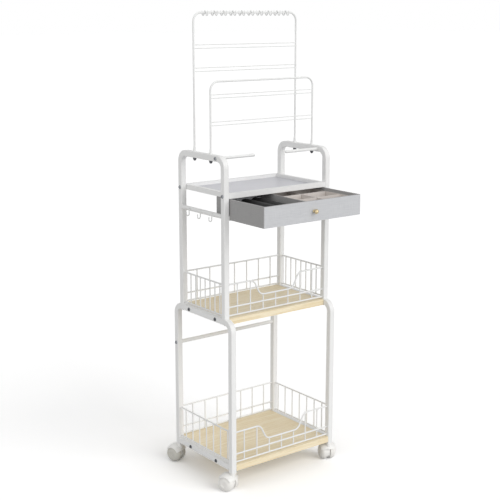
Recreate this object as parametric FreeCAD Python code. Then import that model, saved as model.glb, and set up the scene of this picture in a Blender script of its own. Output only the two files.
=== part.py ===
import FreeCAD, Part
import math
import os

# A rolling jewellery tower, in millimetres: +Z up, -Y the front, +X to the right.
# Two tiers of bent square tube carry two wooden shelves, a drawer under a top
# shelf, and two wire racks. The origin ends up on the floor, under the middle of
# the overall box, with the drawer standing open as it does at rest.

os.makedirs("parts", exist_ok=True)
V = FreeCAD.Vector
ORIGIN = V(0, 0, 0)
X_AXIS = V(1, 0, 0)
Y_AXIS = V(0, 1, 0)
Z_AXIS = V(0, 0, 1)
LEFT_AND_RIGHT = (("left", -1), ("right", 1))

# ---- Overall sizes ----
overall_width = 400.0        # over the outer faces of the side frames
upper_depth = 235.0          # front to back of the upper side frames
tier_step = 32.5             # how far the lower frames reach past them, front and back
lower_frame_height = 470.0   # leg end to the top of the lower frames
upper_frame_height = 477.0   # standing on the lower frames
tall_rack_height = 398.0     # top wire above the upper frames
short_rack_height = 206.0
caster_head_room = 10.0      # from the wheels' top to the leg ends

# ---- Tube, wire and fits ----
frame_tube = 18.0            # square tube of every side frame
frame_wall = 1.2
tube_corner = 2.5
bend_outer_radius = 35.0
weld_tube = 12.0             # round tube of the back cross tube and the side rails
touch_gap = 0.3              # between pieces that only lie beside each other
turning_gap = 0.05           # radial, between a pin and the bore it turns in

# ---- Shelves ----
board_thickness = 18.0
board_corner = 1.5
low_rail_rise = 5.0          # rail's underside above the leg ends
board_screw_spacing = 136.0  # between the two screws on each side of a board
cross_tube_drop = 132.0      # its axis below the top of the lower frames

# ---- Wire guards round the boards ----
guard_height = 101.0         # top wire's axis above the board
guard_dip_height = 53.0      # the same at the middle of the front
guard_rail_height = 32.0     # the second wire of the front and back panels
guard_foot_height = 7.0      # the lowest wire
guard_dip_width = 124.0      # flat stretch at the bottom of the dip
guard_slope_width = 25.0     # each slanting end of the dip
guard_frame_wire = 5.0
guard_wire = 4.0
guard_slope_bend = 24.0
guard_weld = 0.1             # how deep crossing wires melt into each other
guard_front_pitch = 48.0
guard_front_count = 7
bottom_guard_side_pitch = 37.0
bottom_guard_side_count = 7
middle_guard_side_pitch = 25.0
middle_guard_side_count = 7

# ---- Top shelf and side rails ----
shelf_top_drop = 106.5       # shelf's top below the top of the upper frames
shelf_bar_height = 15.0
shelf_bar_width = 12.0
shelf_ledge = 5.0            # how far the ledge under the panel reaches in
shelf_ledge_thickness = 1.5
panel_thickness = 4.0
side_rail_drop = 173.0       # rail axis below the top of the upper frames
hook_wire = 3.2
hook_spacing = 58.0
hook_count = 3
hook_drop = 20.0             # bottom of the hook below the rail's axis
hook_reach = 10.0            # between the stem's axis and the tip's axis
hook_tip_rise = 13.0

# ---- Drawer ----
drawer_height = 60.0
drawer_top_gap = 1.7         # under the shelf frame
drawer_wall = 6.0
drawer_floor = 5.0
drawer_corner = 2.5
drawer_side_gap = 0.6
drawer_back_room = 8.0       # between its back and the runners' stops when it is shut
drawer_open = 159.0          # how far it stands pulled out at rest
runner_sheet = 1.2
runner_upright = 13.0        # hidden behind the side rail
runner_ledge = 15.0
runner_stop = 6.0
drawer_lift = 0.3            # drawer's floor over the runner's ledge
ring_section = 152.0         # clear width of the left part
divider_thickness = 4.0
divider_drop = 2.0           # below the drawer's rim
foam_height = 39.0
foam_roll_count = 4
foam_slit = 2.0
foam_crown = 7.0             # height of each roll's rounded top
tray_height = 46.0
tray_wall = 2.5
tray_floor = 2.0
tray_columns = 2
tray_rows = 3
knob_diameter = 14.0
knob_reach = 17.0
knob_neck = 6.0
knob_screw = 4.0

# ---- Racks ----
rack_wire = 6.0
rack_bend = 26.0
rack_y_offset = 41.0         # tall rack behind the middle, short one in front
rack_row_wire = 3.0
rack_row_gap = 10.0          # between the two wires of a row
tall_rack_rows = (96.0, 162.0)   # below the top wire
short_rack_rows = (42.0, 120.0)
rack_thread_reach = 7.0      # of the wire below the top bar
rack_nut = 10.0              # across flats
rack_nut_height = 9.5        # with its domed cap
rack_nut_cap = 9.0           # diameter of the cap
collar_diameter = 12.0
collar_height = 13.0
collar_flange = 1.5          # thickness of the flange at its foot
collar_neck = 9.0            # where the flange ends in the tapering neck
collar_neck_rise = 4.0
collar_rim = 0.8             # wall at the top
double_hook_count = 10
double_hook_pitch = 33.3
double_hook_wire = 3.0
double_hook_valley = 5.0     # bend radius on the wire's axis
double_hook_depth = 8.0      # bottom of the valley below the top wire's axis
double_hook_tip = 5.0        # tip above the top wire's axis

# ---- Bracelet bars ----
bracelet_bar = 9.0
bracelet_bar_length = 125.0
bracelet_bar_setback = 75.0  # in front of the middle

# ---- Screws ----
screw_head = 11.0
screw_head_height = 3.4
screw_crown = 5.0            # flat middle of the domed head
screw_shoulder = 8.8         # the head's width where the dome turns down
screw_shoulder_height = 2.4
screw_rim_height = 0.7
screw_shank = 5.0
screw_socket = 4.6           # across flats
screw_socket_depth = 2.0
screw_grip = 14.0            # into the second piece
hole_gap = 0.15              # radial, round a screw in a through hole

# ---- Casters ----
wheel_diameter = 50.0
wheel_inner_gap = 1.0        # between a wheel and the hood's web
wheel_tread = 9.0
wheel_dome = 11.0            # how far the domed cheek stands out past the tread
wheel_hub_radius = 9.0
wheel_bulge_reach = 7.5      # the cheek's roundest place: out from the tread
wheel_bulge_radius = 19.5    # and out from the axle
wheel_dish = 1.6
caster_trail = 16.0
caster_web = 10.0
caster_web_inset = 4.0       # web's rim inside the wheels' treads
caster_hood_gap = 1.2        # over the treads' outer edges
caster_hood_shell = 2.2
caster_hood_width = 49.0
caster_hood_dome = 7.0       # how far the hood falls from its crown to its sides
hood_from_angle = 38.0       # degrees about the axle, from the trailing side up
hood_to_angle = 152.0
axle_diameter = 5.0
stem_diameter = 8.0
stem_length = 30.0           # inside the leg
stem_boss = 16.0
stem_socket = 12.0           # of the stem inside the boss
insert_flange = 2.5
insert_length = 34.0
front_caster_turn = 22.0     # degrees at rest, mirrored from left to right
back_caster_turn = 20.0

# ---- Derived places ----
half_width = overall_width / 2
lower_depth = upper_depth + 2 * tier_step
inner_half_width = half_width - frame_tube
frame_axis_x = half_width - frame_tube / 2
leg_end_z = wheel_diameter + caster_head_room
lower_top_z = leg_end_z + lower_frame_height
upper_top_z = lower_top_z + upper_frame_height
bottom_board_z = leg_end_z + low_rail_rise
middle_board_z = lower_top_z - board_thickness
shelf_top_z = upper_top_z - shelf_top_drop
shelf_bottom_z = shelf_top_z - shelf_bar_height
panel_recess = shelf_bar_height - shelf_ledge_thickness - panel_thickness
side_rail_z = upper_top_z - side_rail_drop
side_rail_x = half_width - weld_tube / 2
drawer_top_z = shelf_bottom_z - drawer_top_gap
drawer_bottom_z = drawer_top_z - drawer_height
drawer_half_width = inner_half_width - runner_sheet - drawer_side_gap
drawer_front_y = -upper_depth / 2
drawer_back_y = upper_depth / 2 - runner_sheet - drawer_back_room
upper_leg_y = upper_depth / 2 - frame_tube / 2
lower_leg_y = lower_depth / 2 - frame_tube / 2
wheel_radius = wheel_diameter / 2
tread_inner_x = caster_web / 2 + wheel_inner_gap
tread_outer_x = tread_inner_x + wheel_tread
boss_top_z = leg_end_z - insert_flange - touch_gap

solids = {}


# ---- Shared shapes ----
def corner_arc(before, corner, after, radius):
    """Start, middle and end of the arc that rounds one corner of a path."""
    incoming = (corner - before).normalize()
    outgoing = (after - corner).normalize()
    half_turn = incoming.getAngle(outgoing) / 2
    setback = radius * math.tan(half_turn)
    inward = (outgoing - incoming).normalize()
    middle = corner + inward * (radius / math.cos(half_turn) - radius)
    return corner - incoming * setback, middle, corner + outgoing * setback


def straight(start, end):
    """A list with the straight edge between two points, empty if they coincide."""
    if (end - start).Length < 1e-6:
        return []
    return [Part.LineSegment(start, end).toShape()]


def bent_path(points, radii):
    """Straight runs through the points, joined by tangent arcs."""
    edges = []
    start = points[0]
    for before, corner, after, radius in zip(points, points[1:], points[2:], radii):
        arc = corner_arc(before, corner, after, radius)
        edges += straight(start, arc[0])
        edges.append(Part.Arc(*arc).toShape())
        start = arc[2]
    edges += straight(start, points[-1])
    return Part.Wire(edges)


def rounded_outline(points, radius):
    """A closed outline through the points with every corner rounded."""
    following_points = points[1:] + points[:1]
    corners = zip(points[-1:] + points[:-1], points, following_points)
    arcs = [corner_arc(before, corner, after, radius) for before, corner, after in corners]
    edges = []
    for arc, following in zip(arcs, arcs[1:] + arcs[:1]):
        edges.append(Part.Arc(*arc).toShape())
        edges += straight(arc[2], following[0])
    return Part.Wire(edges)


def rectangle(x_from, x_to, y_from, y_to, z):
    """Four corners, counter-clockwise seen from above."""
    return [V(x_from, y_from, z), V(x_to, y_from, z), V(x_to, y_to, z), V(x_from, y_to, z)]


def block(x_from, x_to, y_from, y_to, z_from, z_to):
    """A plain box between three pairs of coordinates."""
    return Part.makeBox(x_to - x_from, y_to - y_from, z_to - z_from, V(x_from, y_from, z_from))


def rounded_block(x_from, x_to, y_from, y_to, z_from, z_to, radius):
    """A box whose upright edges are rounded."""
    outline = rounded_outline(rectangle(x_from, x_to, y_from, y_to, z_from), radius)
    return Part.Face(outline).extrude(V(0, 0, z_to - z_from))


def rod(points, radii, diameter):
    """Round wire or tube bent along a path."""
    circle = Part.Wire(Part.makeCircle(diameter / 2, points[0], points[1] - points[0]))
    return bent_path(points, radii).makePipeShell([circle], True, False)


def pin(start, end, diameter):
    """A straight round pin."""
    return Part.makeCylinder(diameter / 2, (end - start).Length, start, end - start)


def square_profile(size, corner, centre, direction):
    """Rounded square section, one side parallel to X, facing along the direction."""
    half = size / 2
    outline = rounded_outline(rectangle(-half, half, -half, half, 0), corner)
    outline.Placement = FreeCAD.Placement(centre, FreeCAD.Rotation(Z_AXIS, direction))
    return outline


def square_tube(points, radii):
    """Hollow square tube bent along a path, open at both ends."""
    path = bent_path(points, radii)
    direction = points[1] - points[0]
    inner_size = frame_tube - 2 * frame_wall
    outer = square_profile(frame_tube, tube_corner, points[0], direction)
    inner = square_profile(inner_size, tube_corner - frame_wall, points[0], direction)
    outer_solid = path.makePipeShell([outer], True, False)
    inner_solid = path.makePipeShell([inner], True, False)
    return outer_solid.cut(inner_solid)


def revolved(points, origin, axis, angle=360.0):
    """Solid of revolution of a closed polygon given as (along the axis, radius)."""
    across = Z_AXIS if axis.getAngle(Z_AXIS) > 0.1 else X_AXIS
    outline = [origin + axis * along + across * radius for along, radius in points]
    return Part.Face(Part.makePolygon(outline + outline[:1])).revolve(origin, axis, angle)


def hexagonal_prism(across_flats, base, axis, length):
    """A hexagonal bar that starts at the base and runs along the axis."""
    corner_radius = across_flats / 2 / math.cos(math.pi / 6)
    turn = FreeCAD.Rotation(Z_AXIS, axis)
    corners = []
    for index in range(6):
        angle = math.radians(60 * index)
        corner = V(corner_radius * math.cos(angle), corner_radius * math.sin(angle), 0)
        corners.append(base + turn.multVec(corner))
    return Part.Face(Part.makePolygon(corners + corners[:1])).extrude(axis * length)


def button_screw(seat, inward, shank_length):
    """A domed socket screw whose head rests on the seat."""
    rim = screw_head / 2
    shank = screw_shank / 2
    outline = [(-screw_head_height, 0), (-screw_head_height, screw_crown / 2),
               (-screw_shoulder_height, screw_shoulder / 2), (-screw_rim_height, rim), (0, rim),
               (0, shank), (shank_length, shank), (shank_length, 0)]
    socket_start = seat - inward * screw_head_height
    socket = hexagonal_prism(screw_socket, socket_start, inward, screw_socket_depth)
    return revolved(outline, seat, inward).cut(socket)


def screw_through_side(side, y, z, grip, outer_x, first_thickness):
    """One screw from a side frame's outer face, with its clearance and thread holes."""
    seat = V(side * outer_x, y, z)
    inward = V(-side, 0, 0)
    joint = seat + inward * first_thickness
    clearance = pin(seat - inward, joint, screw_shank + 2 * hole_gap)
    thread = pin(joint - inward, joint + inward * grip, screw_shank)
    return button_screw(seat, inward, first_thickness + grip), clearance, thread


def joined(shapes):
    """Fuse shapes that are welded or moulded as one."""
    first, *others = shapes
    return first.multiFuse(others).removeSplitter()


def without(shape, cutters):
    """Cut a list of tools out of a shape."""
    return shape.cut(Part.Compound(cutters)) if cutters else shape


# ---- Side frames: two tiers of inverted U, bent from square tube ----
def side_frame(side, depth, foot_z, top_z, holes):
    """One inverted U with its holes drilled."""
    x = side * frame_axis_x
    leg_y = depth / 2 - frame_tube / 2
    axis_z = top_z - frame_tube / 2
    path = [V(x, -leg_y, foot_z), V(x, -leg_y, axis_z), V(x, leg_y, axis_z), V(x, leg_y, foot_z)]
    bend = bend_outer_radius - frame_tube / 2
    return without(square_tube(path, [bend, bend]), holes)


def low_rail(side, holes):
    """Square tube welded between the two legs, level with the bottom board."""
    x = side * frame_axis_x
    leg_face_y = lower_depth / 2 - frame_tube
    z = bottom_board_z + frame_tube / 2
    return without(square_tube([V(x, -leg_face_y, z), V(x, leg_face_y, z)], []), holes)


def board_screws(side, board_z):
    """The two screws on one side of a board."""
    z = board_z + board_thickness / 2
    places = (-board_screw_spacing / 2, board_screw_spacing / 2)
    return [screw_through_side(side, y, z, screw_grip, half_width, frame_tube) for y in places]


def shelf_screws(side):
    """Screws through the upper legs into the top shelf's frame."""
    z = shelf_bottom_z + shelf_bar_height / 2
    grip = shelf_bar_width - 2
    places = (-upper_leg_y, upper_leg_y)
    return [screw_through_side(side, y, z, grip, half_width, frame_tube) for y in places]


def bracelet_screw(side):
    """The screw that holds a bracelet bar to the side frame's top bar."""
    z = upper_top_z - frame_tube / 2
    return screw_through_side(side, -bracelet_bar_setback, z, screw_grip, half_width, frame_tube)


def cross_tube_screw(side):
    """The screw that ties a back leg to the cross tube."""
    z = lower_top_z - cross_tube_drop
    return screw_through_side(side, lower_leg_y, z, screw_grip, half_width, frame_tube)


def rack_holes(side):
    """Holes for both racks through a top bar."""
    x = side * frame_axis_x
    size = rack_wire + 2 * hole_gap
    below = upper_top_z - frame_tube - 1
    above = upper_top_z + 1
    return [pin(V(x, y, below), V(x, y, above), size) for y in (-rack_y_offset, rack_y_offset)]


def joint_bolts(side):
    """Bolts from under the lower top bar into plugs in the upper legs."""
    bolts = []
    for y in (-upper_leg_y, upper_leg_y):
        seat = V(side * frame_axis_x, y, lower_top_z - frame_tube)
        bolts.append(button_screw(seat, Z_AXIS, frame_tube + screw_grip))
    return bolts


def joint_bolt_holes(side):
    """Clearance for the joint bolts through the lower top bar."""
    holes = []
    size = screw_shank + 2 * hole_gap
    for y in (-upper_leg_y, upper_leg_y):
        x = side * frame_axis_x
        holes.append(pin(V(x, y, lower_top_z - frame_tube - 1), V(x, y, lower_top_z + 1), size))
    return holes


def leg_plug(side, y):
    """Threaded plug pressed into the foot of an upper leg."""
    inner = frame_tube - 2 * frame_wall
    x = side * frame_axis_x
    outline = square_profile(inner, tube_corner - frame_wall, V(x, y, lower_top_z), Z_AXIS)
    plug = Part.Face(outline).extrude(V(0, 0, screw_grip + 4))
    return plug.cut(pin(V(x, y, lower_top_z - 1), V(x, y, lower_top_z + screw_grip), screw_shank))


all_board_screws = []
all_shelf_screws = []
all_bracelet_screws = []
all_cross_screws = []
all_joint_bolts = []
bottom_board_holes = []
middle_board_holes = []
shelf_holes = []
cross_tube_holes = []
bracelet_holes = {}

for side_name, side in LEFT_AND_RIGHT:
    low_screws = board_screws(side, bottom_board_z)
    mid_screws = board_screws(side, middle_board_z)
    top_screws = shelf_screws(side)
    bar_screw = bracelet_screw(side)
    tie_screw = cross_tube_screw(side)
    plugs = [leg_plug(side, y) for y in (-upper_leg_y, upper_leg_y)]

    lower_holes = [hole for _, hole, _ in mid_screws + [tie_screw]] + joint_bolt_holes(side)
    upper_holes = [hole for _, hole, _ in top_screws + [bar_screw]] + rack_holes(side)
    solids["lower_frame_" + side_name] = side_frame(side, lower_depth, leg_end_z, lower_top_z, lower_holes)
    solids["low_rail_" + side_name] = low_rail(side, [hole for _, hole, _ in low_screws])
    solids["upper_frame_" + side_name] = side_frame(side, upper_depth, lower_top_z, upper_top_z, upper_holes)

    bottom_board_holes += [thread for _, _, thread in low_screws]
    middle_board_holes += [thread for _, _, thread in mid_screws]
    shelf_holes += [thread for _, _, thread in top_screws]
    cross_tube_holes.append(tie_screw[2])
    bracelet_holes[side_name] = bar_screw[2]

    all_board_screws += [screw for screw, _, _ in low_screws + mid_screws]
    all_shelf_screws += [screw for screw, _, _ in top_screws]
    all_bracelet_screws.append(bar_screw[0])
    all_cross_screws.append(tie_screw[0])
    all_joint_bolts += joint_bolts(side) + plugs

solids["board_screws"] = Part.Compound(all_board_screws)
solids["shelf_screws"] = Part.Compound(all_shelf_screws)
solids["bracelet_screws"] = Part.Compound(all_bracelet_screws)
solids["cross_tube_screws"] = Part.Compound(all_cross_screws)
solids["frame_joint_bolts"] = Part.Compound(all_joint_bolts)


# ---- Back cross tube ----
def cross_tube():
    """Round tube between the back legs, with a solid end for each screw."""
    z = lower_top_z - cross_tube_drop
    left_end = V(-inner_half_width, lower_leg_y, z)
    right_end = V(inner_half_width, lower_leg_y, z)
    return without(pin(left_end, right_end, weld_tube), cross_tube_holes)


solids["cross_tube_back"] = cross_tube()


# ---- Boards and their wire guards ----
def board(depth, board_z, holes):
    """A wooden shelf between the side frames."""
    half_depth = depth / 2
    plate = rounded_block(-inner_half_width, inner_half_width, -half_depth, half_depth,
                          board_z, board_z + board_thickness, board_corner)
    return without(plate, holes)


def dipped_wire(y, high_z, low_z):
    """The front panel's top wire, dipped in the middle so things lift out easily."""
    flat = guard_dip_width / 2
    shoulder = flat + guard_slope_width
    dip = [V(-shoulder, y, high_z), V(-flat, y, low_z), V(flat, y, low_z), V(shoulder, y, high_z)]
    ends = V(-inner_half_width, y, high_z), V(inner_half_width, y, high_z)
    return rod([ends[0]] + dip + [ends[1]], [guard_slope_bend] * len(dip), guard_frame_wire)


def spread(count, pitch):
    """Evenly spaced places either side of zero."""
    return [(index - (count - 1) / 2) * pitch for index in range(count)]


def wire_guard(depth, board_z, side_count, side_pitch):
    """Four wire panels welded between the legs, in the planes through their middles."""
    leg_y = depth / 2 - frame_tube / 2
    leg_face_y = leg_y - frame_tube / 2
    board_top = board_z + board_thickness
    foot_z = board_top + guard_foot_height
    rail_z = board_top + guard_rail_height
    high_z = board_top + guard_height
    low_z = board_top + guard_dip_height
    weld_offset = (guard_frame_wire + guard_wire) / 2 - guard_weld
    upright_x = frame_axis_x - weld_offset
    upright_y = leg_y - weld_offset
    # level wires from leg to leg
    wires = [dipped_wire(-leg_y, high_z, low_z)]
    for y, z in ((-leg_y, foot_z), (-leg_y, rail_z), (leg_y, foot_z), (leg_y, rail_z), (leg_y, high_z)):
        wires.append(pin(V(-inner_half_width, y, z), V(inner_half_width, y, z), guard_frame_wire))
    for x in (-frame_axis_x, frame_axis_x):
        for z in (foot_z, high_z):
            wires.append(pin(V(x, -leg_face_y, z), V(x, leg_face_y, z), guard_frame_wire))
    # uprights on their inner sides
    for x in spread(guard_front_count, guard_front_pitch):
        front_z = low_z if abs(x) < guard_dip_width / 2 else high_z
        wires.append(pin(V(x, -upright_y, foot_z), V(x, -upright_y, front_z), guard_wire))
        wires.append(pin(V(x, upright_y, foot_z), V(x, upright_y, high_z), guard_wire))
    for y in spread(side_count, side_pitch):
        for x in (-upright_x, upright_x):
            wires.append(pin(V(x, y, foot_z), V(x, y, high_z), guard_wire))
    return Part.Compound(wires)


solids["bottom_board"] = board(lower_depth, bottom_board_z, bottom_board_holes)
solids["middle_board"] = board(upper_depth, middle_board_z, middle_board_holes)
solids["bottom_guard"] = wire_guard(lower_depth, bottom_board_z,
                                    bottom_guard_side_count, bottom_guard_side_pitch)
solids["middle_guard"] = wire_guard(upper_depth, middle_board_z,
                                    middle_guard_side_count, middle_guard_side_pitch)


# ---- Top shelf: a frame with a ledge at its foot, and the panel that lies sunk in it ----
def shelf_frame():
    """Rectangular frame between the upper legs, with a ledge along its inner foot."""
    half_depth = upper_depth / 2
    inside_x = inner_half_width - shelf_bar_width
    inside_y = half_depth - shelf_bar_width
    frame = rounded_block(-inner_half_width, inner_half_width, -half_depth, half_depth,
                          shelf_bottom_z, shelf_top_z, board_corner)
    ledge_top_z = shelf_bottom_z + shelf_ledge_thickness
    panel_room = block(-inside_x, inside_x, -inside_y, inside_y, ledge_top_z, shelf_top_z + 1)
    ledge_x = inside_x - shelf_ledge
    ledge_y = inside_y - shelf_ledge
    window = block(-ledge_x, ledge_x, -ledge_y, ledge_y, shelf_bottom_z - 1, ledge_top_z + 1)
    return without(frame, [panel_room, window] + shelf_holes)


def shelf_panel():
    """Grey panel that lies on the ledge."""
    half_x = inner_half_width - shelf_bar_width - touch_gap
    half_y = upper_depth / 2 - shelf_bar_width - touch_gap
    top_z = shelf_top_z - panel_recess
    return rounded_block(-half_x, half_x, -half_y, half_y, top_z - panel_thickness, top_z, board_corner)


solids["shelf_frame"] = shelf_frame()
solids["shelf_panel"] = shelf_panel()


# ---- Side rails with their sunglass hooks ----
def side_rail(side):
    """Round rail welded between the two upper legs."""
    leg_face_y = upper_depth / 2 - frame_tube
    x = side * side_rail_x
    return pin(V(x, -leg_face_y, side_rail_z), V(x, leg_face_y, side_rail_z), weld_tube)


def sunglass_hook(side, y):
    """A small J hook welded on the rail's outer side, open upwards."""
    stem_x = side * (half_width + hook_wire / 2)
    tip_x = stem_x + side * hook_reach
    bottom_z = side_rail_z - hook_drop
    path = [V(stem_x, y, side_rail_z + weld_tube / 4), V(stem_x, y, bottom_z),
            V(tip_x, y, bottom_z), V(tip_x, y, bottom_z + hook_tip_rise)]
    bend = hook_reach / 2
    return rod(path, [bend, bend], hook_wire)


for side_name, side in LEFT_AND_RIGHT:
    hooks = [sunglass_hook(side, y) for y in spread(hook_count, hook_spacing)]
    solids["side_rail_" + side_name] = side_rail(side)
    solids["sunglass_hooks_" + side_name] = Part.Compound(hooks)


# ---- Drawer: its runners, the lined box, the ring foam, the tray and the knob ----
def drawer_runner(side):
    """Sheet angle welded inside the upper legs, with an upturned stop at the back."""
    half_depth = upper_depth / 2
    outer_x = inner_half_width
    ledge_top_z = drawer_bottom_z - drawer_lift
    ledge_bottom_z = ledge_top_z - runner_sheet
    upright = block(outer_x - runner_sheet, outer_x, -half_depth, half_depth,
                    ledge_bottom_z, ledge_bottom_z + runner_upright)
    ledge = block(outer_x - runner_ledge, outer_x, -half_depth, half_depth,
                  ledge_bottom_z, ledge_top_z)
    stop = block(outer_x - runner_ledge, outer_x, half_depth - runner_sheet, half_depth,
                 ledge_bottom_z, ledge_top_z + runner_stop)
    angle = joined([upright, ledge, stop])
    return angle if side > 0 else angle.mirror(ORIGIN, X_AXIS)


def drawer_box():
    """Open box with the wall between its two sections."""
    half = drawer_half_width
    inner = half - drawer_wall
    front_y = drawer_front_y + drawer_wall
    back_y = drawer_back_y - drawer_wall
    floor_z = drawer_bottom_z + drawer_floor
    outer = rounded_block(-half, half, drawer_front_y, drawer_back_y,
                          drawer_bottom_z, drawer_top_z, drawer_corner)
    room = block(-inner, inner, front_y, back_y, floor_z, drawer_top_z + 1)
    divider_x = ring_section - inner
    divider = block(divider_x, divider_x + divider_thickness, front_y, back_y,
                    floor_z, drawer_top_z - divider_drop)
    knob_z = (drawer_bottom_z + drawer_top_z) / 2
    knob_hole = pin(V(0, drawer_front_y - 1, knob_z), V(0, front_y + 1, knob_z), knob_screw)
    return joined([outer.cut(room), divider]).cut(knob_hole)


def ring_foam():
    """Block of rounded rolls with slits between them that grip rings."""
    inner = drawer_half_width - drawer_wall
    x_from = -inner + touch_gap
    width = ring_section - 2 * touch_gap
    y_from = drawer_front_y + drawer_wall + touch_gap
    length = drawer_back_y - drawer_front_y - 2 * drawer_wall - 2 * touch_gap
    floor_z = drawer_bottom_z + drawer_floor
    shoulder_z = floor_z + foam_height - foam_crown
    slit_z = floor_z + foam_height / 3
    pitch = (width + foam_slit) / foam_roll_count
    edges = []
    start = V(x_from, y_from, floor_z)
    for index in range(foam_roll_count):
        left = x_from + index * pitch
        right = left + pitch - foam_slit
        shoulder = V(left, y_from, shoulder_z)
        crown = V((left + right) / 2, y_from, shoulder_z + foam_crown)
        far_shoulder = V(right, y_from, shoulder_z)
        edges += straight(start, shoulder)
        edges.append(Part.Arc(shoulder, crown, far_shoulder).toShape())
        last = index == foam_roll_count - 1
        bottom = V(right, y_from, floor_z if last else slit_z)
        edges += straight(far_shoulder, bottom)
        start = bottom if last else V(right + foam_slit, y_from, slit_z)
        edges += straight(bottom, start)
    edges += straight(start, V(x_from, y_from, floor_z))
    return Part.Face(Part.Wire(edges)).extrude(V(0, length, 0))


def compartment_tray():
    """Lift-out tray with a grid of open compartments."""
    inner = drawer_half_width - drawer_wall
    x_from = ring_section - inner + divider_thickness + touch_gap
    x_to = inner - touch_gap
    y_from = drawer_front_y + drawer_wall + touch_gap
    y_to = drawer_back_y - drawer_wall - touch_gap
    floor_z = drawer_bottom_z + drawer_floor
    tray = rounded_block(x_from, x_to, y_from, y_to, floor_z, floor_z + tray_height, 1.0)
    cell_x = (x_to - x_from - tray_wall) / tray_columns
    cell_y = (y_to - y_from - tray_wall) / tray_rows
    cells = []
    for column in range(tray_columns):
        for row in range(tray_rows):
            left = x_from + tray_wall + column * cell_x
            front = y_from + tray_wall + row * cell_y
            cells.append(block(left, left + cell_x - tray_wall, front, front + cell_y - tray_wall,
                               floor_z + tray_floor, floor_z + tray_height + 1))
    return without(tray, cells)


def drawer_knob():
    """Turned ball knob with its screw through the drawer's front."""
    seat = V(0, drawer_front_y, (drawer_bottom_z + drawer_top_z) / 2)
    radius = knob_diameter / 2
    centre = knob_reach - radius
    foot = knob_neck / 2 + 1.5
    outline = [(-drawer_wall, 0), (-drawer_wall, knob_screw / 2), (0, knob_screw / 2), (0, foot),
               (1.5, foot), (3, knob_neck / 2), (centre, knob_neck / 2), (centre, 0)]
    ball = Part.makeSphere(radius, seat - Y_AXIS * centre)
    return joined([revolved(outline, seat, V(0, -1, 0)), ball])


def pulled_out(shape):
    """The drawer's pieces stand open at rest."""
    shape.translate(V(0, -drawer_open, 0))
    return shape


for side_name, side in LEFT_AND_RIGHT:
    solids["drawer_runner_" + side_name] = drawer_runner(side)
solids["drawer_box"] = pulled_out(drawer_box())
solids["ring_foam"] = pulled_out(ring_foam())
solids["compartment_tray"] = pulled_out(compartment_tray())
solids["drawer_knob"] = pulled_out(drawer_knob())


# ---- Wire racks on the upper frames' top bars ----
def wire_rack(y, height, row_drops):
    """Bent wire hoop with welded double rows, threaded below the top bars."""
    x = frame_axis_x
    top_z = upper_top_z + height
    foot_z = upper_top_z - frame_tube - rack_thread_reach
    hoop = [V(-x, y, foot_z), V(-x, y, top_z), V(x, y, top_z), V(x, y, foot_z)]
    wires = [rod(hoop, [rack_bend, rack_bend], rack_wire)]
    for drop in row_drops:
        for z in (top_z - drop - rack_row_gap / 2, top_z - drop + rack_row_gap / 2):
            wires.append(pin(V(-x, y, z), V(x, y, z), rack_row_wire))
    return joined(wires)


def double_hook(x):
    """Wire saddled over the top wire, with an upturned end in front and behind."""
    y = rack_y_offset
    z = upper_top_z + tall_rack_height
    saddle = (rack_wire + double_hook_wire) / 2
    reach = saddle + 2 * double_hook_valley
    deep_z = z - double_hook_depth
    tip_z = z + double_hook_tip
    path = [V(x, y - reach, tip_z), V(x, y - reach, deep_z), V(x, y - saddle, deep_z),
            V(x, y - saddle, z + saddle), V(x, y + saddle, z + saddle),
            V(x, y + saddle, deep_z), V(x, y + reach, deep_z), V(x, y + reach, tip_z)]
    valley = [double_hook_valley, double_hook_valley]
    return rod(path, valley + [saddle, saddle] + valley, double_hook_wire)


def rack_collar(x, y):
    """Flared collar that covers the wire's hole on top of the bar."""
    bore = rack_wire / 2 + hole_gap
    flange = collar_diameter / 2
    outline = [(0, bore), (0, flange), (collar_flange, flange), (collar_neck_rise, collar_neck / 2),
               (collar_height, bore + collar_rim), (collar_height, bore)]
    return revolved(outline, V(x, y, upper_top_z), Z_AXIS)


def cap_nut(x, y):
    """Cap nut under the top bar, closed over the end of the rack's thread."""
    seat = V(x, y, upper_top_z - frame_tube)
    flats = rack_nut_height - rack_nut_cap / 2
    cap = Part.makeSphere(rack_nut_cap / 2, seat - Z_AXIS * flats)
    nut = joined([hexagonal_prism(rack_nut, seat, -Z_AXIS, flats), cap])
    return nut.cut(pin(seat + Z_AXIS, seat - Z_AXIS * (rack_thread_reach + touch_gap), rack_wire))


rack_feet = [(x, y) for x in (-frame_axis_x, frame_axis_x) for y in (-rack_y_offset, rack_y_offset)]
solids["tall_rack"] = wire_rack(rack_y_offset, tall_rack_height, tall_rack_rows)
double_hooks = [double_hook(x) for x in spread(double_hook_count, double_hook_pitch)]
solids["tall_rack_hooks"] = Part.Compound(double_hooks)
solids["short_rack"] = wire_rack(-rack_y_offset, short_rack_height, short_rack_rows)
solids["rack_collars"] = Part.Compound([rack_collar(x, y) for x, y in rack_feet])
solids["rack_nuts"] = Part.Compound([cap_nut(x, y) for x, y in rack_feet])


# ---- Bracelet bars ----
def bracelet_bar_piece(side_name, side):
    """Round-ended bar that points inward from the side frame's top bar."""
    radius = bracelet_bar / 2
    root = V(side * inner_half_width, -bracelet_bar_setback, upper_top_z - frame_tube / 2)
    end = root - X_AXIS * side * (bracelet_bar_length - radius)
    return joined([pin(root, end, bracelet_bar), Part.makeSphere(radius, end)]).cut(bracelet_holes[side_name])


for side_name, side in LEFT_AND_RIGHT:
    solids["bracelet_bar_" + side_name] = bracelet_bar_piece(side_name, side)


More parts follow.
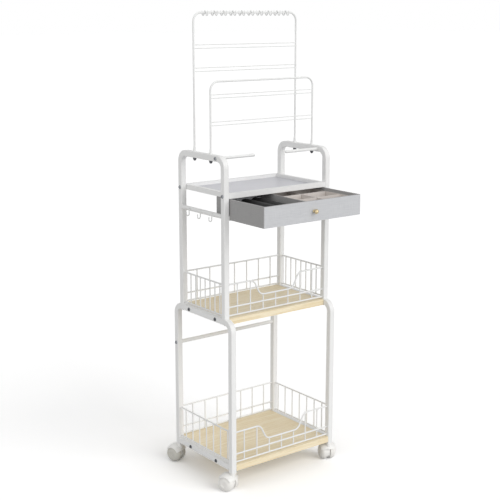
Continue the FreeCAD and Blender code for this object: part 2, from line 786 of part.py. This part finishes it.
# ---- Casters: leg insert, swivelling stem and hood, twin wheels on one axle ----
def leg_insert():
    """Plug in the leg's end, with a flange and the stem's bore."""
    inner = frame_tube - 2 * frame_wall
    flange_z = leg_end_z - insert_flange
    flange = Part.Face(square_profile(frame_tube, tube_corner, V(0, 0, flange_z), Z_AXIS))
    plug = Part.Face(square_profile(inner, tube_corner - frame_wall, V(0, 0, leg_end_z), Z_AXIS))
    body = joined([flange.extrude(V(0, 0, insert_flange)), plug.extrude(V(0, 0, insert_length))])
    bore = stem_diameter + 2 * turning_gap
    return body.cut(pin(V(0, 0, flange_z - 1), V(0, 0, flange_z + stem_length + 1), bore))


def caster_stem():
    """Steel stem, held in the hood's boss and turning in the leg insert."""
    top_z = leg_end_z - insert_flange + stem_length
    return pin(V(0, 0, boss_top_z - stem_socket), V(0, 0, top_z), stem_diameter)


def hood_sector(gap, angle_from, angle_to):
    """Sector about the axle under a domed line that clears the treads' edges by the gap."""
    half = caster_hood_width / 2
    dome_radius = (half ** 2 + caster_hood_dome ** 2) / (2 * caster_hood_dome)
    drop_at_tread = dome_radius - math.sqrt(dome_radius ** 2 - tread_outer_x ** 2)
    crown_radius = wheel_radius + gap + drop_at_tread
    edge_radius = crown_radius - caster_hood_dome
    left = V(-half, 0, edge_radius)
    right = V(half, 0, edge_radius)
    dome = Part.Arc(left, V(0, 0, crown_radius), right).toShape()
    foot_right = V(half, 0, 0)
    foot_left = V(-half, 0, 0)
    sides = straight(right, foot_right) + straight(foot_right, foot_left) + straight(foot_left, left)
    sector = Part.Face(Part.Wire([dome] + sides)).revolve(ORIGIN, X_AXIS, angle_to - angle_from)
    sector.rotate(ORIGIN, X_AXIS, angle_from - 90)
    sector.translate(V(0, caster_trail, wheel_radius))
    return sector


def caster_hood():
    """Moulded web between the wheels, boss for the stem and a domed hood over them."""
    half_web = caster_web / 2
    axle = V(0, caster_trail, wheel_radius)
    outer = hood_sector(caster_hood_gap + caster_hood_shell, hood_from_angle, hood_to_angle)
    inner = hood_sector(caster_hood_gap, hood_from_angle - 5, hood_to_angle + 5)
    slab = block(-half_web, half_web, -wheel_diameter, 2 * wheel_diameter, 0, wheel_diameter * 2)
    wheel_room = pin(axle - X_AXIS * caster_hood_width, axle + X_AXIS * caster_hood_width,
                     wheel_diameter + 2 * caster_hood_gap)
    boss = pin(V(0, 0, wheel_radius), V(0, 0, boss_top_z), stem_boss).cut(wheel_room)
    rim_diameter = wheel_diameter - 2 * caster_web_inset
    disc = pin(axle - X_AXIS * half_web, axle + X_AXIS * half_web, rim_diameter)
    body = joined([outer.cut(inner), outer.common(slab), boss, disc])
    axle_bore = pin(axle - X_AXIS * caster_web, axle + X_AXIS * caster_web, axle_diameter + 2 * turning_gap)
    stem_room = pin(V(0, 0, boss_top_z - stem_socket), V(0, 0, boss_top_z + 1), stem_diameter)
    return without(body, [axle_bore, stem_room])


def caster_axle():
    """Axle pin that both wheels are fixed to."""
    end = X_AXIS * tread_outer_x
    axle = V(0, caster_trail, wheel_radius)
    return pin(axle - end, axle + end, axle_diameter)


def caster_wheel(side):
    """Wheel with a flat tread and a domed, dished cheek."""
    outer_x = tread_outer_x + wheel_dome
    bore_radius = axle_diameter / 2
    dish_x = outer_x - wheel_dish
    dish_radius = wheel_hub_radius - wheel_dish - 1
    tread_corner = V(tread_outer_x, 0, wheel_radius)
    hub_corner = V(outer_x, 0, wheel_hub_radius)
    bulge = V(tread_outer_x + wheel_bulge_reach, 0, wheel_bulge_radius)
    outline = [hub_corner, V(outer_x, 0, dish_radius + wheel_dish), V(dish_x, 0, dish_radius),
               V(dish_x, 0, 0), V(tread_outer_x, 0, 0), V(tread_outer_x, 0, bore_radius),
               V(tread_inner_x, 0, bore_radius), V(tread_inner_x, 0, wheel_radius - 1),
               V(tread_inner_x + 1, 0, wheel_radius), tread_corner]
    edges = [Part.Arc(tread_corner, bulge, hub_corner).toShape()]
    for start, end in zip(outline, outline[1:]):
        edges += straight(start, end)
    wheel = Part.Face(Part.Wire(edges)).revolve(ORIGIN, X_AXIS, 360)
    if side < 0:
        wheel = wheel.mirror(ORIGIN, X_AXIS)
    wheel.translate(V(0, caster_trail, wheel_radius))
    return wheel


def turned(shape, angle, place):
    """A caster piece turned about its stem and moved under its leg."""
    piece = shape.copy()
    piece.rotate(ORIGIN, Z_AXIS, angle)
    piece.translate(place)
    return piece


insert_shape = leg_insert()
stem_shape = caster_stem()
hood_shape = caster_hood()
axle_shape = caster_axle()
wheel_shapes = {"outer": caster_wheel(-1), "inner": caster_wheel(1)}
for end_name, end, turn in (("front", -1, front_caster_turn), ("back", 1, back_caster_turn)):
    for side_name, side in LEFT_AND_RIGHT:
        place = V(side * frame_axis_x, end * lower_leg_y, 0)
        corner_name = end_name + "_" + side_name
        angle = turn if side < 0 else -turn
        solids["leg_insert_" + corner_name] = turned(insert_shape, 0, place)
        solids["caster_stem_" + corner_name] = turned(stem_shape, angle, place)
        solids["caster_hood_" + corner_name] = turned(hood_shape, angle, place)
        solids["caster_axle_" + corner_name] = turned(axle_shape, angle, place)
        for wheel_name, wheel in wheel_shapes.items():
            if side > 0:
                wheel_name = "inner" if wheel_name == "outer" else "outer"
            solids["caster_wheel_" + corner_name + "_" + wheel_name] = turned(wheel, angle, place)


# ---- Origin under the middle of the overall box, then one file for each piece ----
overall = FreeCAD.BoundBox()
for shape in solids.values():
    overall.add(shape.BoundBox)
shift = V(-overall.Center.x, -overall.Center.y, -overall.ZMin)
for node, shape in solids.items():
    shape.translate(shift)
    shape.exportStep("parts/" + node + ".step")
print("box", round(overall.XLength, 3), round(overall.YLength, 3), round(overall.ZLength, 3))
print("shift", round(shift.x, 4), round(shift.y, 4), round(shift.z, 4), "pieces", len(solids))
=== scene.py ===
import bpy
import math
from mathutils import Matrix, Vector


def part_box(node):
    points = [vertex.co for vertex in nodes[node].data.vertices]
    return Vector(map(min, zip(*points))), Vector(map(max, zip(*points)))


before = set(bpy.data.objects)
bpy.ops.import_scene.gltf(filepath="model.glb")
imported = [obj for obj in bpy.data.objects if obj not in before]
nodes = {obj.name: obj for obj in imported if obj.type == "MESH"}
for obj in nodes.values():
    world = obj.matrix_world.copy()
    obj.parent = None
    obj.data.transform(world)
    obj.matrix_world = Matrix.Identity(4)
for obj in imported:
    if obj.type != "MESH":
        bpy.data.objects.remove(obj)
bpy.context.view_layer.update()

# ---- Viewpoint ----
# A long lens at about chest height, in front and to the left of the tower, tilted a
# little down. Its place is given from the point on the floor under the lower shelf.
shelf_low, shelf_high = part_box("bottom_board")
tower_middle = Vector(((shelf_low.x + shelf_high.x) / 2, (shelf_low.y + shelf_high.y) / 2, 0))
camera_offset = Vector((-1.9639, -2.5457, 1.4060))
camera_turn = -37.396
camera_tilt = 12.529
sensor_width = 36.0
focal_in_frame_widths = 2.1413
farthest_seen = 100

camera_data = bpy.data.cameras.new("viewpoint")
camera_data.sensor_width = sensor_width
camera_data.lens = focal_in_frame_widths * sensor_width
camera_data.clip_end = farthest_seen
camera = bpy.data.objects.new("viewpoint", camera_data)
camera.location = tower_middle + camera_offset
camera.rotation_euler = (math.radians(90 - camera_tilt), 0, math.radians(camera_turn))
bpy.context.scene.collection.objects.link(camera)
bpy.context.scene.camera = camera


# ---- Side frames, rails and shelf frame ----
# Bent steel tube, with flat bar for the shelf frame and folded sheet for the drawer runners,
# welded and sprayed with an epoxy-polyester powder that is baked to an even satin white.
# The powder flows into a faint orange peel.
MILLIMETRE = 0.001


def to_linear(hex_colour):
    """Linear RGBA of an sRGB hex colour."""
    channels = [int(hex_colour[i:i + 2], 16) / 255 for i in (1, 3, 5)]
    linear = [c / 12.92 if c <= 0.04045 else ((c + 0.055) / 1.055) ** 2.4 for c in channels]
    return (*linear, 1)


def add_node(tree, kind, values=None, links=None, **properties):
    """Adds a node to a tree with its settings, socket values and incoming links."""
    node = tree.nodes.new(kind)
    for name, value in properties.items():
        setattr(node, name, value)
    for socket, value in (values or {}).items():
        node.inputs[socket].default_value = value
    for socket, (source, output) in (links or {}).items():
        tree.links.new(source.outputs[output], node.inputs[socket])
    return node


def new_material(name):
    """An empty material and its node tree."""
    material = bpy.data.materials.new(name)
    material.use_nodes = True
    material.node_tree.nodes.clear()
    return material, material.node_tree


def cover(node_name, material):
    """Gives a piece of the frame its finish."""
    piece = nodes[node_name]
    piece.data.materials.clear()
    piece.data.materials.append(material)


def powder_coat(name, colour, thin, peel_strength, roughness):
    """Baked satin powder: faint orange peel, and a trace of uneven film thickness."""
    peel_size = 1.6 * MILLIMETRE
    peel_depth = 0.1 * MILLIMETRE
    film_size = 60 * MILLIMETRE
    material, tree = new_material(name)
    place = add_node(tree, "ShaderNodeTexCoord")
    film = add_node(tree, "ShaderNodeTexNoise", {"Scale": 1 / film_size, "Detail": 2.0},
                    {"Vector": (place, "Object")})
    tint = add_node(tree, "ShaderNodeMix", {6: to_linear(colour), 7: to_linear(thin)},
                    {0: (film, "Fac")}, data_type="RGBA")
    peel = add_node(tree, "ShaderNodeTexNoise", {"Scale": 1 / peel_size, "Detail": 1.0},
                    {"Vector": (place, "Object")})
    bump = add_node(tree, "ShaderNodeBump", {"Strength": peel_strength, "Distance": peel_depth},
                    {"Height": (peel, "Fac")})
    shader = add_node(tree, "ShaderNodeBsdfPrincipled", {"Roughness": roughness},
                      {"Base Color": (tint, 2), "Normal": (bump, "Normal")})
    add_node(tree, "ShaderNodeOutputMaterial", {}, {"Surface": (shader, "BSDF")})
    return material


white_tube = powder_coat("white satin powder coat on tube", "#f0f0ef", "#eaeae9", 0.06, 0.42)
for name in nodes:
    if name.startswith(("lower_frame", "low_rail", "cross_tube_back", "upper_frame", "side_rail",
                        "shelf_frame", "drawer_runner")):
        cover(name, white_tube)


# ---- Wire guards, racks, hooks and bracelet bars ----
# Steel wire and rod, bent, welded at the crossings and coated with the same powder, which
# lies thinner and a little glossier on wire. The racks' feet stand in collars on the top bars.
white_wire = powder_coat("white satin powder coat on wire", "#ecedec", "#e8e8e7", 0.02, 0.36)
for name in nodes:
    if name.startswith(("bottom_guard", "middle_guard", "tall_rack", "short_rack", "rack_collars",
                        "sunglass_hooks", "bracelet_bar")):
        cover(name, white_wire)


# ---- Wooden shelves ----
# Particle board faced with a pale oak-grain melamine paper, edged in the same paper. Each
# board is held between the side frames by two screws a side.
def melamine_oak(name):
    """Printed oak grain: long streaks along the board, and small pores in line with them."""
    streak_width = 5 * MILLIMETRE
    streak_stretch = 26
    streak_contrast = (0.32, 0.68)
    pore_width = 0.9 * MILLIMETRE
    pore_depth = 0.05 * MILLIMETRE
    pore_edge = (0.58, 0.72)
    pore_darkness = 0.35
    material, tree = new_material(name)
    place = add_node(tree, "ShaderNodeTexCoord")
    along = add_node(tree, "ShaderNodeMapping", {"Scale": (1 / streak_stretch, 1, 1)},
                     {"Vector": (place, "Object")})
    streak = add_node(tree, "ShaderNodeTexNoise",
                      {"Scale": 1 / streak_width, "Detail": 5.0, "Roughness": 0.62,
                       "Distortion": 0.25}, {"Vector": (along, "Vector")})
    grain = add_node(tree, "ShaderNodeValToRGB", {}, {"Fac": (streak, "Fac")})
    grain.color_ramp.elements[0].position = streak_contrast[0]
    grain.color_ramp.elements[0].color = to_linear("#e8d5ad")
    grain.color_ramp.elements[1].position = streak_contrast[1]
    grain.color_ramp.elements[1].color = to_linear("#f8edd3")
    pore = add_node(tree, "ShaderNodeTexNoise", {"Scale": 1 / pore_width, "Detail": 2.0},
                    {"Vector": (along, "Vector")})
    pore_mask = add_node(tree, "ShaderNodeMapRange",
                         {"From Min": pore_edge[0], "From Max": pore_edge[1],
                          "To Max": pore_darkness}, {"Value": (pore, "Fac")})
    colour = add_node(tree, "ShaderNodeMix", {7: to_linear("#c9ab79")},
                      {0: (pore_mask, "Result"), 6: (grain, "Color")}, data_type="RGBA")
    bump = add_node(tree, "ShaderNodeBump", {"Strength": 0.15, "Distance": pore_depth},
                    {"Height": (pore, "Fac")})
    shader = add_node(tree, "ShaderNodeBsdfPrincipled", {"Roughness": 0.5},
                      {"Base Color": (colour, 2), "Normal": (bump, "Normal")})
    add_node(tree, "ShaderNodeOutputMaterial", {}, {"Surface": (shader, "BSDF")})
    return material


oak_board = melamine_oak("pale oak melamine board")
cover("bottom_board", oak_board)
cover("middle_board", oak_board)


# ---- Top shelf panel ----
# A thin board faced in plain cool-grey melamine with a fine satin grain. It lies on the
# ledge at the foot of the shelf frame.
def plain_melamine(name, colour, cloudy):
    """Plain grey melamine: fine pressed texture and a soft sheen."""
    grain_size = 0.8 * MILLIMETRE
    grain_depth = 0.05 * MILLIMETRE
    cloud_size = 90 * MILLIMETRE
    material, tree = new_material(name)
    place = add_node(tree, "ShaderNodeTexCoord")
    cloud = add_node(tree, "ShaderNodeTexNoise", {"Scale": 1 / cloud_size, "Detail": 3.0},
                     {"Vector": (place, "Object")})
    tint = add_node(tree, "ShaderNodeMix", {6: to_linear(colour), 7: to_linear(cloudy)},
                    {0: (cloud, "Fac")}, data_type="RGBA")
    grain = add_node(tree, "ShaderNodeTexNoise", {"Scale": 1 / grain_size, "Detail": 1.0},
                     {"Vector": (place, "Object")})
    bump = add_node(tree, "ShaderNodeBump", {"Strength": 0.1, "Distance": grain_depth},
                    {"Height": (grain, "Fac")})
    shader = add_node(tree, "ShaderNodeBsdfPrincipled", {"Roughness": 0.34},
                      {"Base Color": (tint, 2), "Normal": (bump, "Normal")})
    add_node(tree, "ShaderNodeOutputMaterial", {}, {"Surface": (shader, "BSDF")})
    return material


cover("shelf_panel", plain_melamine("cool grey melamine", "#cdcdd3", "#c3c3c9"))


# ---- Drawer ----
# Board walls wrapped in grey linen, glued and turned in over the rim. Shade is painted on the
# cloth of the side walls, the wall between the sections and the rim, so they are darker than the
# front.
def linen_cloth(name, colour, shadow, side_painted_shade):
    """Close weave with faint thick threads across it. Threads are drawn at twice their
    real spacing, because the real ones are too fine to show."""
    thread_spacing = 0.6 * 2 * MILLIMETRE
    thread_depth = 0.2 * MILLIMETRE
    slub_length = 30 * MILLIMETRE
    weave_contrast = (0.72, 1.28)
    along_thread = thread_spacing / slub_length
    material, tree = new_material(name)
    place = add_node(tree, "ShaderNodeTexCoord")
    warp_place = add_node(tree, "ShaderNodeMapping", {"Scale": (1, 1, along_thread)},
                          {"Vector": (place, "Object")})
    weft_place = add_node(tree, "ShaderNodeMapping", {"Scale": (along_thread, along_thread, 1)},
                          {"Vector": (place, "Object")})
    warp = add_node(tree, "ShaderNodeTexNoise", {"Scale": 1 / thread_spacing, "Detail": 2.0},
                    {"Vector": (warp_place, "Vector")})
    weft = add_node(tree, "ShaderNodeTexNoise", {"Scale": 1 / thread_spacing, "Detail": 2.0},
                    {"Vector": (weft_place, "Vector")})
    weave = add_node(tree, "ShaderNodeMath", {}, {0: (warp, "Fac"), 1: (weft, "Fac")},
                     operation="ADD")
    shade = add_node(tree, "ShaderNodeMapRange",
                     {"From Min": weave_contrast[0], "From Max": weave_contrast[1]},
                     {"Value": (weave, "Value")})
    tint = add_node(tree, "ShaderNodeMix", {6: to_linear(shadow), 7: to_linear(colour)},
                    {0: (shade, "Result")}, data_type="RGBA")
    # Painted shade: the cloth on every face that does not look to the front or back is multiplied
    # by a darker grey.
    facing = add_node(tree, "ShaderNodeSeparateXYZ", {}, {"Vector": (place, "Normal")})
    front_or_back = add_node(tree, "ShaderNodeMath", {}, {0: (facing, "Y")}, operation="ABSOLUTE")
    painted_shade_faces = add_node(tree, "ShaderNodeMath", {0: 1.0}, {1: (front_or_back, "Value")},
                           operation="SUBTRACT")
    cloth = add_node(tree, "ShaderNodeMix", {7: to_linear(side_painted_shade)},
                     {0: (painted_shade_faces, "Value"), 6: (tint, 2)},
                     data_type="RGBA", blend_type="MULTIPLY")
    bump = add_node(tree, "ShaderNodeBump", {"Strength": 0.35, "Distance": thread_depth},
                    {"Height": (weave, "Value")})
    shader = add_node(tree, "ShaderNodeBsdfPrincipled",
                      {"Roughness": 0.85, "Sheen Weight": 0.1, "Sheen Roughness": 0.5},
                      {"Base Color": (cloth, 2), "Normal": (bump, "Normal")})
    add_node(tree, "ShaderNodeOutputMaterial", {}, {"Surface": (shader, "BSDF")})
    return material


# The last colour is the painted shade on the side walls, the divider and the rim.
cover("drawer_box", linen_cloth("grey linen", "#cdced0", "#c1c2c5", "#cfcdca"))


# ---- Ring foam and compartment tray ----
# Foam cut into soft rolls, flocked with black velour and pressed into the drawer's left
# section. The tray beside it is thin board, glued into a grid and flocked in warm grey.
def flock(name, colour, tip, sheen):
    """Short upright fibres: matt, with light caught at grazing angles."""
    clump_size = 1.2 * MILLIMETRE
    fibre_length = 0.3 * MILLIMETRE
    material, tree = new_material(name)
    place = add_node(tree, "ShaderNodeTexCoord")
    clump = add_node(tree, "ShaderNodeTexNoise", {"Scale": 1 / clump_size, "Detail": 3.0},
                     {"Vector": (place, "Object")})
    tint = add_node(tree, "ShaderNodeMix", {6: to_linear(colour), 7: to_linear(tip)},
                    {0: (clump, "Fac")}, data_type="RGBA")
    bump = add_node(tree, "ShaderNodeBump", {"Strength": 0.4, "Distance": fibre_length},
                    {"Height": (clump, "Fac")})
    shader = add_node(tree, "ShaderNodeBsdfPrincipled",
                      {"Roughness": 0.95, "Sheen Weight": sheen, "Sheen Roughness": 0.4},
                      {"Base Color": (tint, 2), "Normal": (bump, "Normal")})
    add_node(tree, "ShaderNodeOutputMaterial", {}, {"Surface": (shader, "BSDF")})
    return material


cover("ring_foam", flock("black velour flock", "#0c0c0d", "#17171a", 0.08))
cover("compartment_tray", flock("warm grey velour flock", "#d0c9c4", "#ddd7d2", 0.3))


# ---- Drawer knob ----
# Turned brass ball on a short neck, polished and lacquered, and screwed on through the
# drawer's front wall.
def turned_brass(name, colour):
    """Lacquered brass with faint turning marks. The marks are drawn at about four times
    their real spacing, because the real ones are too fine to show."""
    mark_spacing = 0.28 * 4 * MILLIMETRE
    mark_depth = 0.05 * MILLIMETRE
    band_spacing_at_scale_one = 2 * math.pi / 20
    material, tree = new_material(name)
    place = add_node(tree, "ShaderNodeTexCoord")
    marks = add_node(tree, "ShaderNodeTexWave",
                     {"Scale": band_spacing_at_scale_one / mark_spacing, "Distortion": 0.4},
                     {"Vector": (place, "Object")}, bands_direction="Y")
    bump = add_node(tree, "ShaderNodeBump", {"Strength": 0.05, "Distance": mark_depth},
                    {"Height": (marks, "Fac")})
    shader = add_node(tree, "ShaderNodeBsdfPrincipled",
                      {"Base Color": to_linear(colour), "Metallic": 1.0, "Roughness": 0.3},
                      {"Normal": (bump, "Normal")})
    add_node(tree, "ShaderNodeOutputMaterial", {}, {"Surface": (shader, "BSDF")})
    return material


cover("drawer_knob", turned_brass("lacquered brass", "#bfae8a"))


# ---- Screws, bolts and nuts ----
# Button-head socket screws and bolts in zinc-plated steel. The screws that hold the boards
# and the cap nuts under the rack feet are dark phosphated steel.
def finished_steel(name, colour, roughness):
    """Steel under a thin plated or phosphated layer that mottles a little."""
    mottle_size = 2 * MILLIMETRE
    mottle_contrast = 0.08
    material, tree = new_material(name)
    place = add_node(tree, "ShaderNodeTexCoord")
    mottle = add_node(tree, "ShaderNodeTexNoise", {"Scale": 1 / mottle_size, "Detail": 3.0},
                      {"Vector": (place, "Object")})
    rough = add_node(tree, "ShaderNodeMapRange",
                     {"To Min": roughness - mottle_contrast, "To Max": roughness + mottle_contrast},
                     {"Value": (mottle, "Fac")})
    shader = add_node(tree, "ShaderNodeBsdfPrincipled",
                      {"Base Color": to_linear(colour), "Metallic": 1.0},
                      {"Roughness": (rough, "Result")})
    add_node(tree, "ShaderNodeOutputMaterial", {}, {"Surface": (shader, "BSDF")})
    return material


dark_phosphate = finished_steel("dark phosphated steel", "#56575b", 0.45)
cover("rack_nuts", dark_phosphate)
cover("board_screws", dark_phosphate)

zinc_plate = finished_steel("zinc-plated steel", "#8d8f93", 0.38)
for name in nodes:
    if name.startswith(("shelf_screws", "bracelet_screws", "cross_tube_screws", "frame_joint_bolts",
                        "caster_stem", "caster_axle")):
        cover(name, zinc_plate)


# ---- Casters ----
# Twin wheels and hoods injection-moulded in nylon: white hoods and pale wheels. The wheels carry
# painted light and shade: a light copy of the wheel nylon on the front casters and a darker grey
# copy on the back casters. Each stem turns in an insert that is pushed into the foot of a leg.
def moulded_nylon(name, colour, roughness):
    """Moulded nylon: spark-eroded texture from the tool."""
    texture_size = 0.7 * MILLIMETRE
    texture_depth = 0.05 * MILLIMETRE
    material, tree = new_material(name)
    place = add_node(tree, "ShaderNodeTexCoord")
    grain = add_node(tree, "ShaderNodeTexNoise", {"Scale": 1 / texture_size, "Detail": 2.0},
                     {"Vector": (place, "Object")})
    bump = add_node(tree, "ShaderNodeBump", {"Strength": 0.12, "Distance": texture_depth},
                    {"Height": (grain, "Fac")})
    shader = add_node(tree, "ShaderNodeBsdfPrincipled",
                      {"Base Color": to_linear(colour), "Roughness": roughness},
                      {"Normal": (bump, "Normal")})
    add_node(tree, "ShaderNodeOutputMaterial", {}, {"Surface": (shader, "BSDF")})
    return material


hood_nylon = moulded_nylon("white moulded nylon", "#f0efec", 0.4)
# Painted light and shade: the front wheels get a light copy of the wheel nylon, the back wheels a
# darker grey copy.
lit_front_wheel_nylon = moulded_nylon("wheel nylon, painted light copy", "#f0eeea", 0.45)
shaded_back_wheel_nylon = moulded_nylon("wheel nylon, painted shade copy", "#cbc9c1", 0.45)
for name in nodes:
    if name.startswith(("caster_hood", "leg_insert")):
        cover(name, hood_nylon)
    if name.startswith("caster_wheel_front"):
        cover(name, lit_front_wheel_nylon)
    if name.startswith("caster_wheel_back"):
        cover(name, shaded_back_wheel_nylon)


# ---- Floor and light ----
# A seamless pale studio floor in an even white room. A broad lamp high in front casts the
# tower's soft shadow back and to the left, and two weaker ones near the horizon fill its left
# and front. The floor burns out to white around the shadow.
def looked_at(tree):
    """1 where the floor or the room is seen straight, in a reflection or through glass."""
    rays = add_node(tree, "ShaderNodeLightPath")
    seen = add_node(tree, "ShaderNodeMath", {},
                    {0: (rays, "Is Camera Ray"), 1: (rays, "Is Glossy Ray")}, operation="MAXIMUM")
    return add_node(tree, "ShaderNodeMath", {},
                    {0: (seen, "Value"), 1: (rays, "Is Transmission Ray")}, operation="MAXIMUM")


def studio_floor(name):
    """Matt white floor. The camera sees its lit part as white, and its shadow as it falls."""
    white_as_seen = 1.325
    material, tree = new_material(name)
    colour = add_node(tree, "ShaderNodeMix",
                      {6: to_linear("#d0d0d0"),
                       7: (white_as_seen, white_as_seen, white_as_seen, 1)},
                      {0: (looked_at(tree), "Value")}, data_type="RGBA")
    diffuse = add_node(tree, "ShaderNodeBsdfDiffuse", {}, {"Color": (colour, 2)})
    add_node(tree, "ShaderNodeOutputMaterial", {}, {"Surface": (diffuse, "BSDF")})
    return material


floor_reach = 60.0
floor_level = -0.2 * MILLIMETRE
floor_corners = [(x * floor_reach, y * floor_reach, floor_level)
                 for x, y in ((-1, -1), (1, -1), (1, 1), (-1, 1))]
floor_mesh = bpy.data.meshes.new("studio_floor")
floor_mesh.from_pydata(floor_corners, [], [(0, 1, 2, 3)])
floor = bpy.data.objects.new("studio_floor", floor_mesh)
floor_mesh.materials.append(studio_floor("matt white studio floor"))
bpy.context.scene.collection.objects.link(floor)

world = bpy.data.worlds.new("studio")
world.use_nodes = True
world.node_tree.nodes.clear()
room_level = 0.52
sky_level = add_node(world.node_tree, "ShaderNodeMapRange", {"To Min": room_level, "To Max": 1.0},
                     {"Value": (looked_at(world.node_tree), "Value")})
sky = add_node(world.node_tree, "ShaderNodeBackground", {"Color": to_linear("#ffffff")},
               {"Strength": (sky_level, "Result")})
add_node(world.node_tree, "ShaderNodeOutputWorld", {}, {"Surface": (sky, "Background")})
bpy.context.scene.world = world

lamps = (("front_lamp", 1.27, 50, (-0.265, 0.84, -0.47)),
         ("left_lamp", 0.75, 80, (0.95, 0.30, -0.12)),
         ("low_front_lamp", 0.47, 90, (0.0, 1.0, -0.05)))
for lamp_name, energy, spread, direction in lamps:
    lamp_data = bpy.data.lights.new(lamp_name, "SUN")
    lamp_data.energy = energy
    lamp_data.angle = math.radians(spread)
    lamp = bpy.data.objects.new(lamp_name, lamp_data)
    lamp.rotation_euler = Vector(direction).to_track_quat("-Z", "Y").to_euler()
    bpy.context.scene.collection.objects.link(lamp)

bpy.context.scene.view_settings.view_transform = "Standard"
